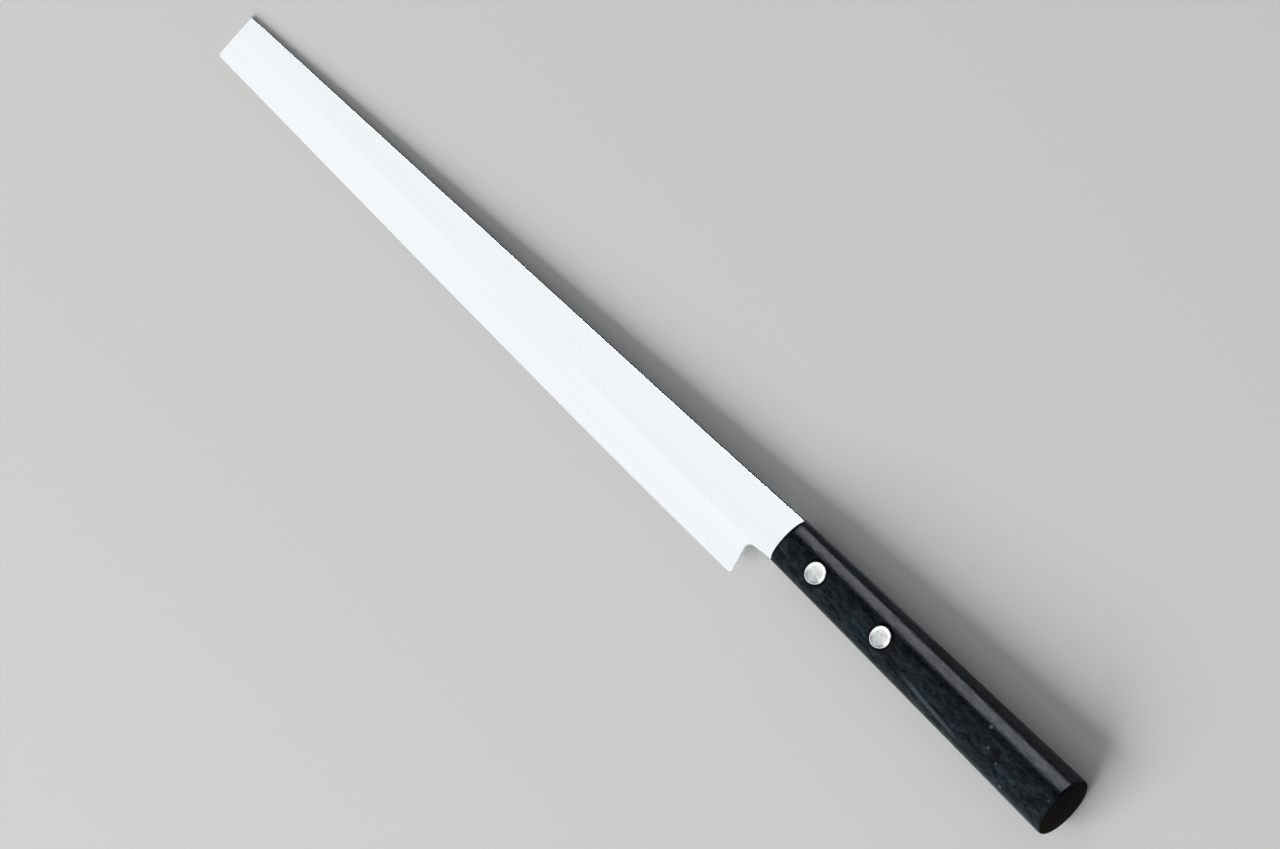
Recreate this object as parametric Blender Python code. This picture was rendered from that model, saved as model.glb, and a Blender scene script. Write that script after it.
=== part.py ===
"""A takohiki: a long square-tipped slicing knife with a half tang riveted into an oval wooden handle.

Each piece is drawn in the knife's own straight frame, in metres: x runs from the tip to the butt, y from the
cutting edge to the spine, and z through the blade, with z = 0 in the middle of the tang. y = 0 is the straight
line between the edge's two ends. An empty then lays the knife down on its tip and its butt.
"""

import math

import bmesh
import bpy
from mathutils import Vector

# Blade, seen from the side
BLADE_LENGTH = 0.2400  # along the edge, from the tip to the heel
TIP_HEIGHT = 0.0158  # from edge to spine at the square tip
TIP_CORNER_RADIUS = 0.0010  # softened corner where the tip meets the edge
EDGE_BELLY = 0.0007  # how far the edge swells below a straight line
EDGE_BELLY_AT = 0.1600  # distance of the deepest point from the tip
SPINE_DIP = 0.0003  # how far the spine dips below a straight line
SPINE_DIP_AT = 0.2000  # distance of the lowest point from the tip
HEEL_LEAN = math.radians(9.0)  # the heel is cut back, leaning towards the tip as it rises
HEEL_CORNER_RADIUS = 0.0012  # softened corner where the edge meets the heel
NOTCH_RADIUS = 0.0024  # fillet between the heel and the neck
NECK_LENGTH = 0.0076  # bare steel between the heel and the handle
NECK_SLOPE = math.radians(7.0)  # rise of the neck's underside towards the handle

# Blade, through its thickness
NECK_THICKNESS = 0.0028  # neck and tang
TIP_THICKNESS = 0.0010
EDGE_THICKNESS = 0.0002  # flat left at the cutting edge
BEVEL_TIP_HEIGHT = 0.0092  # height of the bevel's ridge at the tip
HOLLOW_DEPTH = 0.0002  # shallow hollow ground into the back
HOLLOW_RIM = 0.0022  # flat rim left round the hollow at the edge and the spine
HOLLOW_FADE = 0.0150  # length over which the hollow runs out before the tip and the heel
SPINE_EASE = 0.00025  # small flat on both corners of the spine

# Handle
HANDLE_LENGTH = 0.1259
HANDLE_FRONT_RISE = 0.0121  # height of the handle's underside above the edge line, at its front
HANDLE_BUTT_RISE = 0.0117  # the same at its butt
HANDLE_FRONT_HEIGHT = 0.0164
HANDLE_BUTT_HEIGHT = 0.0215
HANDLE_FRONT_THICKNESS = 0.0110
HANDLE_BUTT_THICKNESS = 0.0186
FRONT_EASE = 0.00035  # depth of the softened front edge
FRONT_EASE_LENGTH = 0.0025
BUTT_EDGE_RADIUS = 0.0012
BUTT_CROWN = 0.0005  # rise of the end face's middle
BUTT_LEAN = 0.03  # slope of the end face: its top stands a little forward
SAW_RADIUS = 0.0750  # the slot for the tang ends in the arc of the saw that cut it

# Rivets, each a female half with a tube and a male half with a pin
RIVET_SETBACK = 0.0159  # front rivet behind the handle's front
RIVET_SPACING = 0.0301
RIVET_DROP = 0.0006  # rivets below the handle's middle line
RIVET_HEAD_DIAMETER = 0.0070
RIVET_HEAD_THICKNESS = 0.0018
RIVET_PIN_DIAMETER = 0.0025
RIVET_TUBE_WALL = 0.0007
RIVET_END_ROOM = 0.0006  # free length past the end of the pin and of the tube
TANG_PAST_RIVET = 0.0120  # tang behind the rear rivet

FIT_GAP = 0.00025  # between the tang and its slot, and between a rivet and what it passes through

# Fineness of the curves
BLADE_STATIONS = 24
TANG_STATIONS = 6
HOLLOW_POINTS = 8
HANDLE_STATIONS = 12
OVAL_POINTS = 56
EASE_STEPS = 4
CROWN_RINGS = (0.8, 0.55, 0.3)  # ovals on the crowned end face, as shares of its width
ARC_STEPS = 8
ROUND_STEPS = 40
MERGE_WITHIN = 1e-7
SHARP_ANGLE = math.radians(30.0)

# A cutter reaches this far past what it cuts
OVERCUT = 0.0040

# What follows from the sizes above
HANDLE_FRONT = BLADE_LENGTH + NECK_LENGTH
HANDLE_BUTT = HANDLE_FRONT + HANDLE_LENGTH
RIVETS_AT = {"front": HANDLE_FRONT + RIVET_SETBACK, "rear": HANDLE_FRONT + RIVET_SETBACK + RIVET_SPACING}
TANG_END = RIVETS_AT["rear"] + TANG_PAST_RIVET
BLADE_BACK = -NECK_THICKNESS / 2
PIN_RADIUS = RIVET_PIN_DIAMETER / 2
BORE_RADIUS = PIN_RADIUS + FIT_GAP
TUBE_RADIUS = BORE_RADIUS + RIVET_TUBE_WALL
HOLE_RADIUS = TUBE_RADIUS + FIT_GAP
HEAD_RADIUS = RIVET_HEAD_DIAMETER / 2
SEAT_RADIUS = HEAD_RADIUS + FIT_GAP


def bowed_line(x, start, end, bow, bow_at):
    """Height at x of a line from start to end, each (x, y), bowed by two parabolas that meet at bow_at."""
    share = (x - start[0]) / (end[0] - start[0])
    straight = start[1] + share * (end[1] - start[1])
    limit = start[0] if x < bow_at else end[0]
    away = (x - bow_at) / (limit - bow_at)
    return straight + bow * (1.0 - away * away)


def steps(first, last, count):
    """Evenly spaced values from first to last, both included."""
    return [first + (last - first) * i / count for i in range(count + 1)]


# The handle's form, on which the tang, the slot and the rivets depend


def along_handle(x):
    """Share of the handle's length at x, from 0 at its front to 1 at its butt."""
    return (x - HANDLE_FRONT) / HANDLE_LENGTH


def grown(x, front, butt):
    """A size of the handle at x, which changes evenly from its front to its butt."""
    return front + along_handle(x) * (butt - front)


def half_height(x):
    return grown(x, HANDLE_FRONT_HEIGHT, HANDLE_BUTT_HEIGHT) / 2


def handle_middle(x):
    return grown(x, HANDLE_FRONT_RISE, HANDLE_BUTT_RISE) + half_height(x)


def half_thickness(x):
    return grown(x, HANDLE_FRONT_THICKNESS, HANDLE_BUTT_THICKNESS) / 2


def wood_height(x, side):
    """Height of the oval where the tang's face meets it, on the spine side (1) or the edge side (-1)."""
    reach = math.sqrt(1.0 - (NECK_THICKNESS / 2 / half_thickness(x)) ** 2)
    return handle_middle(x) + side * half_height(x) * reach


def wood_depth(x, y):
    """Half of the handle's thickness at a point on its side."""
    return half_thickness(x) * math.sqrt(1.0 - ((y - handle_middle(x)) / half_height(x)) ** 2)


# The blade's form


def edge_height(x):
    if x >= BLADE_LENGTH:
        return 0.0
    return bowed_line(x, (0.0, 0.0), (BLADE_LENGTH, 0.0), -EDGE_BELLY, EDGE_BELLY_AT)


def spine_height(x):
    """The spine runs into the tang's top, which is ground flush with the wood."""
    if x >= HANDLE_FRONT:
        return wood_height(x, 1)
    end = (HANDLE_FRONT, wood_height(HANDLE_FRONT, 1))
    return bowed_line(x, (0.0, TIP_HEIGHT), end, -SPINE_DIP, SPINE_DIP_AT)


def neck_underside(x):
    return wood_height(HANDLE_FRONT, -1) - (HANDLE_FRONT - x) * math.tan(NECK_SLOPE)


def ridge_height(x):
    """The line where the flat of the blade turns into its bevel. It runs out at the neck's underside."""
    share = min(x / BLADE_LENGTH, 1.0)
    return BEVEL_TIP_HEIGHT + share * (neck_underside(BLADE_LENGTH) - BEVEL_TIP_HEIGHT)


def blade_thickness(x):
    share = min(x / BLADE_LENGTH, 1.0)
    return TIP_THICKNESS + share * (NECK_THICKNESS - TIP_THICKNESS)


def hollow_depth(x):
    """The hollow in the back fades out before the tip and before the heel."""
    room = min(x, BLADE_LENGTH - x) / HOLLOW_FADE
    share = min(max(room, 0.0), 1.0)
    return HOLLOW_DEPTH * share * share * (3.0 - 2.0 * share)


def blade_section(x):
    """One slice through the blade: bevel, flat, eased spine and hollow back."""
    edge = edge_height(x)
    spine = spine_height(x)
    face = BLADE_BACK + blade_thickness(x)
    points = [
        (edge, BLADE_BACK),
        (edge, BLADE_BACK + EDGE_THICKNESS),
        (ridge_height(x), face),
        (spine - SPINE_EASE, face),
        (spine, face - SPINE_EASE),
        (spine, BLADE_BACK + SPINE_EASE),
        (spine - SPINE_EASE, BLADE_BACK),
    ]
    for share in steps(0.0, 1.0, HOLLOW_POINTS):
        y = (spine - HOLLOW_RIM) * (1.0 - share) + (edge + HOLLOW_RIM) * share
        points.append((y, BLADE_BACK + hollow_depth(x) * 4.0 * share * (1.0 - share)))
    return [(x, y, z) for y, z in points]


def rounded_corner(before, corner, after, radius):
    """Points of the arc that rounds the corner between two straight lines."""
    corner = Vector(corner)
    towards_before = (Vector(before) - corner).normalized()
    towards_after = (Vector(after) - corner).normalized()
    half_angle = towards_before.angle(towards_after) / 2
    centre = corner + (towards_before + towards_after).normalized() * (radius / math.sin(half_angle))
    start = corner + towards_before * (radius / math.tan(half_angle)) - centre
    end = corner + towards_after * (radius / math.tan(half_angle)) - centre
    arc = [centre + radius * start.slerp(end, share).normalized() for share in steps(0.0, 1.0, ARC_STEPS)]
    return [(point.x, point.y) for point in arc]


def blade_outline():
    """The outline that the blade is cut to: square tip, heel, notch, neck and tang.

    It passes clear of the edge and the spine, which the ground sections shape by themselves.
    """
    above = spine_height(TANG_END) + OVERCUT
    heel_slope = math.tan(HEEL_LEAN)
    notch_y = neck_underside(BLADE_LENGTH) / (1.0 + heel_slope * math.tan(NECK_SLOPE))
    start = (0.0, above)
    tip = (0.0, 0.0)
    below_edge = (BLADE_LENGTH / 2, -EDGE_BELLY - OVERCUT)
    heel = (BLADE_LENGTH, 0.0)
    notch = (BLADE_LENGTH - heel_slope * notch_y, notch_y)
    neck_end = (HANDLE_FRONT, neck_underside(HANDLE_FRONT))
    outline = [start]
    outline += rounded_corner(start, tip, below_edge, TIP_CORNER_RADIUS)
    outline.append(below_edge)
    outline += rounded_corner(below_edge, heel, notch, HEEL_CORNER_RADIUS)
    outline += rounded_corner(heel, notch, neck_end, NOTCH_RADIUS)
    outline += [(x, wood_height(x, -1)) for x in steps(HANDLE_FRONT, TANG_END, TANG_STATIONS)]
    outline.append((TANG_END, above))
    return outline


# Blender objects


def clear_scene():
    for old in list(bpy.data.objects):
        bpy.data.objects.remove(old, do_unlink=True)


def finish(colour, metallic, roughness, name):
    material = bpy.data.materials.new(name)
    material.use_nodes = True
    shader = material.node_tree.nodes["Principled BSDF"]
    shader.inputs["Base Color"].default_value = (*colour, 1.0)
    shader.inputs["Metallic"].default_value = metallic
    shader.inputs["Roughness"].default_value = roughness
    return material


def add_object(name, shape, material, parent):
    """Makes an object from a bmesh, with its faces pointing out and its round parts smooth."""
    bmesh.ops.recalc_face_normals(shape, faces=shape.faces)
    mesh = bpy.data.meshes.new(name)
    shape.to_mesh(mesh)
    shape.free()
    mesh.shade_smooth()
    mesh.set_sharp_from_angle(angle=SHARP_ANGLE)
    if material:
        mesh.materials.append(material)
    piece = bpy.data.objects.new(name, mesh)
    piece.parent = parent
    bpy.context.collection.objects.link(piece)
    return piece


def loft(sections):
    """Skins a row of closed sections, which all have the same number of points, into one closed body."""
    shape = bmesh.new()
    rings = []
    for section in sections:
        points = [shape.verts.new(point) for point in section]
        rings.append([shape.edges.new(pair) for pair in zip(points, points[1:] + points[:1])])
    for ring, following in zip(rings, rings[1:]):
        bmesh.ops.bridge_loops(shape, edges=ring + following)
    bmesh.ops.edgeloop_fill(shape, edges=rings[0])
    bmesh.ops.edgeloop_fill(shape, edges=rings[-1])
    return shape


def slab(outline, bottom, top):
    """An outline, each point (x, y), as a plate between two heights."""
    shape = bmesh.new()
    face = shape.faces.new([shape.verts.new((x, y, bottom)) for x, y in outline])
    raised = bmesh.ops.extrude_face_region(shape, geom=[face])["geom"]
    corners = [item for item in raised if isinstance(item, bmesh.types.BMVert)]
    bmesh.ops.translate(shape, verts=corners, vec=(0.0, 0.0, top - bottom))
    return shape


def turned(profile):
    """A profile, each point (radius, z), turned about the z axis. It starts and ends on the axis."""
    shape = bmesh.new()
    points = [shape.verts.new((radius, 0.0, z)) for radius, z in profile]
    lines = [shape.edges.new(pair) for pair in zip(points, points[1:])]
    full = {"cent": (0, 0, 0), "axis": (0, 0, 1), "angle": math.tau, "steps": ROUND_STEPS, "use_merge": True}
    bmesh.ops.spin(shape, geom=points + lines, **full)
    bmesh.ops.remove_doubles(shape, verts=shape.verts, dist=MERGE_WITHIN)
    return shape


def add_cutter(name, shape, parent):
    cutter = add_object(name, shape, None, parent)
    cutter.hide_render = True
    cutter.display_type = "WIRE"
    return cutter


def combine(piece, tool, operation):
    modifier = piece.modifiers.new(tool.name, "BOOLEAN")
    modifier.operation = operation
    modifier.solver = "EXACT"
    modifier.object = tool


# The pieces


def handle_ring(x, inset=0.0, shrink=1.0, shift=0.0, lean=0.0):
    """One oval slice of the handle, drawn in by inset and then scaled towards its middle."""
    middle = handle_middle(x)
    up = (half_height(x) - inset) * shrink
    out = (half_thickness(x) - inset) * shrink
    ring = []
    for turn in steps(0.0, math.tau, OVAL_POINTS)[:-1]:
        y = up * math.sin(turn)
        ring.append((x + shift - lean * y, middle + y, out * math.cos(turn)))
    return ring


def handle_body():
    """The handle before it is slotted and drilled: ovals that grow from the front to the butt."""
    rings = []
    quarter = steps(0.0, math.pi / 2, EASE_STEPS)
    for turn in quarter:
        x = HANDLE_FRONT + FRONT_EASE_LENGTH * (1.0 - math.cos(turn))
        rings.append(handle_ring(x, inset=FRONT_EASE * (1.0 - math.sin(turn))))
    end_edge = HANDLE_BUTT - BUTT_CROWN
    stations = steps(HANDLE_FRONT + FRONT_EASE_LENGTH, end_edge - BUTT_EDGE_RADIUS, HANDLE_STATIONS)
    rings += [handle_ring(x) for x in stations[1:-1]]
    for turn in quarter:
        x = end_edge - BUTT_EDGE_RADIUS * (1.0 - math.sin(turn))
        rings.append(handle_ring(x, inset=BUTT_EDGE_RADIUS * (1.0 - math.cos(turn)), lean=BUTT_LEAN))
    for shrink in CROWN_RINGS:
        rise = BUTT_CROWN * (1.0 - shrink * shrink)
        rings.append(handle_ring(end_edge, inset=BUTT_EDGE_RADIUS, shrink=shrink, shift=rise, lean=BUTT_LEAN))
    return loft(rings)


def slot_outline():
    """The saw slot: open at the front, the top and the bottom, with the saw's arc at its end."""
    middle = handle_middle(TANG_END)
    surface = half_height(TANG_END)
    reach = surface + OVERCUT
    centre = TANG_END + FIT_GAP - math.sqrt(SAW_RADIUS ** 2 - surface ** 2)
    outline = [(HANDLE_FRONT - OVERCUT, middle + reach), (HANDLE_FRONT - OVERCUT, middle - reach)]
    for y in steps(-reach, reach, ARC_STEPS):
        outline.append((centre + math.sqrt(SAW_RADIUS ** 2 - y * y), middle + y))
    return outline


def rivet_place(x):
    """Where a rivet stands on the handle's side, and half of the handle's thickness there."""
    y = handle_middle(x) - RIVET_DROP
    return (x, y, 0.0), wood_depth(x, y)


def seat_profile(depth):
    """The hole for a rivet, counterbored from both sides for its heads."""
    floor = depth - RIVET_HEAD_THICKNESS
    clear = depth + OVERCUT
    return [(0.0, -clear), (SEAT_RADIUS, -clear), (SEAT_RADIUS, -floor), (HOLE_RADIUS, -floor),
            (HOLE_RADIUS, floor), (SEAT_RADIUS, floor), (SEAT_RADIUS, clear), (0.0, clear)]


def female_profile(depth):
    """A head on the bevel's side of the knife, with a blind tube that reaches to the male half's head."""
    head = depth - RIVET_HEAD_THICKNESS + FIT_GAP
    mouth = RIVET_END_ROOM - head
    return [(0.0, head), (BORE_RADIUS, head), (BORE_RADIUS, mouth), (TUBE_RADIUS, mouth),
            (TUBE_RADIUS, head), (HEAD_RADIUS, head), (HEAD_RADIUS, depth + OVERCUT), (0.0, depth + OVERCUT)]


def male_profile(depth):
    """A head on the flat side of the knife, with a pin that is driven into the tube."""
    head = depth - RIVET_HEAD_THICKNESS + FIT_GAP
    return [(0.0, -depth - OVERCUT), (HEAD_RADIUS, -depth - OVERCUT), (HEAD_RADIUS, -head),
            (PIN_RADIUS, -head), (PIN_RADIUS, head - RIVET_END_ROOM), (0.0, head - RIVET_END_ROOM)]


def make_blade(parent, holes):
    steel = finish((0.86, 0.87, 0.89), 1.0, 0.22, "polished stainless steel")
    stations = steps(-OVERCUT, BLADE_LENGTH, BLADE_STATIONS) + [HANDLE_FRONT]
    stations += steps(HANDLE_FRONT, TANG_END + OVERCUT, TANG_STATIONS)[1:]
    blade = add_object("blade", loft([blade_section(x) for x in stations]), steel, parent)
    height = NECK_THICKNESS / 2 + OVERCUT
    outline = add_cutter("blade_outline", slab(blade_outline(), -height, height), parent)
    combine(blade, outline, "INTERSECT")
    for hole in holes:
        combine(blade, hole, "DIFFERENCE")
    return blade


def make_handle(parent, seats):
    wood = finish((0.016, 0.018, 0.022), 0.0, 0.42, "black pressed wood")
    handle = add_object("handle", handle_body(), wood, parent)
    half_slot = NECK_THICKNESS / 2 + FIT_GAP
    slot = add_cutter("tang_slot", slab(slot_outline(), -half_slot, half_slot), parent)
    combine(handle, slot, "DIFFERENCE")
    for seat in seats:
        combine(handle, seat, "DIFFERENCE")
    return handle


def make_rivets(parent):
    """Both halves of each rivet, ground flush with the handle, and the seats that they leave in the wood."""
    metal = finish((0.90, 0.90, 0.91), 1.0, 0.28, "polished rivet steel")
    ground = add_cutter("ground_surface", handle_body(), parent)
    rivets = []
    seats = []
    for name, x in RIVETS_AT.items():
        place, depth = rivet_place(x)
        seat = add_cutter(f"rivet_seat_{name}", turned(seat_profile(depth)), parent)
        seat.location = place
        seats.append(seat)
        for half, profile in (("female", female_profile(depth)), ("male", male_profile(depth))):
            rivet = add_object(f"rivet_{name}_{half}", turned(profile), metal, parent)
            rivet.location = place
            combine(rivet, ground, "INTERSECT")
            rivets.append(rivet)
    return rivets, seats


def lay_down(knife, pieces):
    """Tilts the knife onto its tip and its butt, and brings the middle of its footprint to the origin."""
    butt_edge = HANDLE_BUTT - BUTT_CROWN - BUTT_EDGE_RADIUS
    fall = half_thickness(butt_edge) + BLADE_BACK
    knife.rotation_euler = (0.0, -math.atan2(fall, butt_edge), 0.0)
    bpy.context.view_layer.update()
    viewed = bpy.context.evaluated_depsgraph_get()
    points = []
    for piece in pieces:
        mesh = piece.evaluated_get(viewed).to_mesh()
        points += [piece.matrix_world @ vertex.co for vertex in mesh.vertices]
    low = [min(point[axis] for point in points) for axis in range(3)]
    high = [max(point[axis] for point in points) for axis in range(3)]
    knife.location = (-(low[0] + high[0]) / 2, -(low[1] + high[1]) / 2, -low[2])


def main():
    clear_scene()
    knife = bpy.data.objects.new("knife", None)
    bpy.context.collection.objects.link(knife)
    rivets, seats = make_rivets(knife)
    blade = make_blade(knife, seats)
    handle = make_handle(knife, seats)
    lay_down(knife, [blade, handle, *rivets])


main()
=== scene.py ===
"""A takohiki: a long square-tipped slicing knife, its half tang riveted into an oval handle of black wood.

Each piece is drawn in millimetres in the knife's own straight frame, and then laid on its tip and its butt:
x runs from the tip to the butt, y from the cutting edge to the spine, and z through the blade.
"""

import math

import bmesh
import bpy
from mathutils import Matrix, Quaternion, Vector


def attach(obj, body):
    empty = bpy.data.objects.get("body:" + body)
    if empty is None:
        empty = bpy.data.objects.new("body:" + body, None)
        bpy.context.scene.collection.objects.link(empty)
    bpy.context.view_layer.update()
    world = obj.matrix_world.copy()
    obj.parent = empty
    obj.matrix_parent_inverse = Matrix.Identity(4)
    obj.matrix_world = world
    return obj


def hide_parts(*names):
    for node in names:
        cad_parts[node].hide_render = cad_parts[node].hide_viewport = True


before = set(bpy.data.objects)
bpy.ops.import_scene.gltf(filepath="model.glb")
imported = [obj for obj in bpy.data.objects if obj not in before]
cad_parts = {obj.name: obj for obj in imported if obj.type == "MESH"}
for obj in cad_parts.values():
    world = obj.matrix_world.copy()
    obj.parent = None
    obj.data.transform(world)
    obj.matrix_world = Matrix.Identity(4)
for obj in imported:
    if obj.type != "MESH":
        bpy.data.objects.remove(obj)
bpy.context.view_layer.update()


# The blade: one bar of stainless steel, ground to a single bevel on one face, hollowed a little on the other
# and polished lengthwise. Its neck runs on as the tang, which fills the handle's slot and is ground flush
# with the wood at the spine and underneath.

BLADE_LENGTH = 240.0
TIP_HEIGHT = 15.8
EDGE_BELLY = 0.7
EDGE_BELLY_AT = 160.0
SPINE_DIP = 0.3
SPINE_DIP_AT = 200.0
HEEL_SLOPE = math.tan(math.radians(9.0))
NECK_LENGTH = 7.6
NECK_SLOPE = math.tan(math.radians(7.0))
CORNER_RADII = {"tip": 1.0, "heel": 1.2, "notch": 2.4}
NECK_THICKNESS = 2.8
TIP_THICKNESS = 1.0
EDGE_THICKNESS = 0.2
RIDGE_AT_TIP = 9.2
RIDGE_ROUNDING = 1.2  # the polishing wheel rounds the bevel's ridge over this much on each side
HOLLOW_DEPTH = 0.2
HOLLOW_RIM = 2.2
HOLLOW_FADE = 15.0
CORNER_EASE = 0.2
EASED_FROM = 0.55  # thinnest steel whose corners are eased, so the cutting edge stays crisp
TANG_END = 305.6

OUTLINE_STEPS = 30
TANG_STEPS = 6
CORNER_STEPS = 8
RIDGE_STEPS = 8
HOLLOW_STEPS = 12
RIM_STEPS = 8
EASE_STEPS = 3
STATION = 4.0  # length of one facet along the blade
NEAR = 0.01  # closer than this counts as the same place

HANDLE_FRONT = BLADE_LENGTH + NECK_LENGTH
HANDLE_LENGTH = 125.9
HANDLE_RISE = (12.1, 11.7)  # underside above the edge line, at the front and at the butt
HANDLE_HEIGHT = (16.4, 21.5)
HANDLE_THICKNESS = (11.0, 18.6)
BACK = -NECK_THICKNESS / 2

# How the knife lies: tilted about y so that tip and butt touch, with its footprint's middle at the origin
MILLIMETRE = 0.001
LAID_TILT = math.asin(-0.021105276)
LAID_AT = (-0.186740085, -0.016218292, 0.001399688)
LAY_DOWN = Matrix.Translation(LAID_AT) @ Matrix.Rotation(LAID_TILT, 4, "Y") @ Matrix.Scale(MILLIMETRE, 4)


def grown(x, ends):
    """A size of the handle at x, which changes evenly from its front to its butt."""
    return ends[0] + (x - HANDLE_FRONT) / HANDLE_LENGTH * (ends[1] - ends[0])


def handle_middle(x):
    return grown(x, HANDLE_RISE) + grown(x, HANDLE_HEIGHT) / 2


def oval_height(x, z, side):
    """Height of the handle's oval surface at a depth z, on the spine side (1) or the edge side (-1)."""
    reach = math.sqrt(1.0 - (2.0 * z / grown(x, HANDLE_THICKNESS)) ** 2)
    return handle_middle(x) + side * grown(x, HANDLE_HEIGHT) / 2 * reach


def wood_height(x, side):
    """The oval's height where the tang's face comes out of it."""
    return oval_height(x, NECK_THICKNESS / 2, side)


def bowed(x, start, end, bow, bow_at):
    """Height at x of a line from start to end that is bowed by two parabolas, which meet at bow_at."""
    straight = start[1] + (x - start[0]) / (end[0] - start[0]) * (end[1] - start[1])
    away = (x - bow_at) / ((start[0] if x < bow_at else end[0]) - bow_at)
    return straight + bow * (1.0 - away * away)


def edge_height(x):
    if x >= BLADE_LENGTH:
        return 0.0
    return bowed(x, (0.0, 0.0), (BLADE_LENGTH, 0.0), -EDGE_BELLY, EDGE_BELLY_AT)


def spine_height(x):
    if x >= HANDLE_FRONT:
        return wood_height(x, 1)
    neck_end = (HANDLE_FRONT, wood_height(HANDLE_FRONT, 1))
    return bowed(x, (0.0, TIP_HEIGHT), neck_end, -SPINE_DIP, SPINE_DIP_AT)


def neck_underside(x):
    return wood_height(HANDLE_FRONT, -1) - (HANDLE_FRONT - x) * NECK_SLOPE


def ridge_height(x):
    return RIDGE_AT_TIP + x / BLADE_LENGTH * (neck_underside(BLADE_LENGTH) - RIDGE_AT_TIP)


def face_height(x):
    return BACK + TIP_THICKNESS + min(x / BLADE_LENGTH, 1.0) * (NECK_THICKNESS - TIP_THICKNESS)


def ground_height(x, y):
    """The bevelled face: a flat along the spine, a bevel along the edge, and the rounded ridge between."""
    face = face_height(x)
    ridge = ridge_height(x)
    slope = (face - BACK - EDGE_THICKNESS) / (ridge - edge_height(x))
    past = y - ridge
    if past >= RIDGE_ROUNDING:
        return face
    if past <= -RIDGE_ROUNDING:
        return face + slope * past
    return face - slope * (RIDGE_ROUNDING - past) ** 2 / (4.0 * RIDGE_ROUNDING)


def hollow_height(x, y):
    """The back: flat rims along the edge and the spine, and a hollow between them that fades at both ends."""
    low = edge_height(x) + HOLLOW_RIM
    share = min(max((y - low) / (spine_height(x) - HOLLOW_RIM - low), 0.0), 1.0)
    room = min(max(min(x, BLADE_LENGTH - x) / HOLLOW_FADE, 0.0), 1.0)
    return BACK + HOLLOW_DEPTH * room * room * (3.0 - 2.0 * room) * 4.0 * share * (1.0 - share)


def steps(first, last, count):
    """Values from first to last, in this many equal steps."""
    return [first + (last - first) * i / count for i in range(count + 1)]


def cut_line(shape, faces, point, normal):
    """Cuts the line in which a plane meets some of the faces into them."""
    parts = {part for face in faces for part in (face, *face.edges, *face.verts)}
    bmesh.ops.bisect_plane(shape, geom=list(parts), dist=1e-4, plane_co=point, plane_no=normal)


def score(shape, faces, start, end):
    """Cuts a straight line through two points (x, y) into some of the faces."""
    run = Vector(end) - Vector(start)
    cut_line(shape, faces, (*start, 0.0), (-run.y, run.x, 0.0))


def thicken(shape, thickness):
    """Draws a flat shape out along z to a solid."""
    raised = bmesh.ops.extrude_face_region(shape, geom=shape.faces[:])["geom"]
    points = [part for part in raised if isinstance(part, bmesh.types.BMVert)]
    bmesh.ops.translate(shape, verts=points, vec=(0.0, 0.0, thickness))


def faces_on(shape, side):
    """The faces that lie wholly above (1) or below (-1) the middle of the tang."""
    return [face for face in shape.faces if all(side * vert.co.z > 0.0 for vert in face.verts)]


def is_eased(vert):
    """Whether the blade's corner is eased here: not along the cutting edge, and not on the tang."""
    x, y = vert.co.xy
    return ground_height(x, y) - BACK > EASED_FROM and x < HANDLE_FRONT + NEAR


def on_tang(vert):
    return vert.co.x >= HANDLE_FRONT - NEAR


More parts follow.
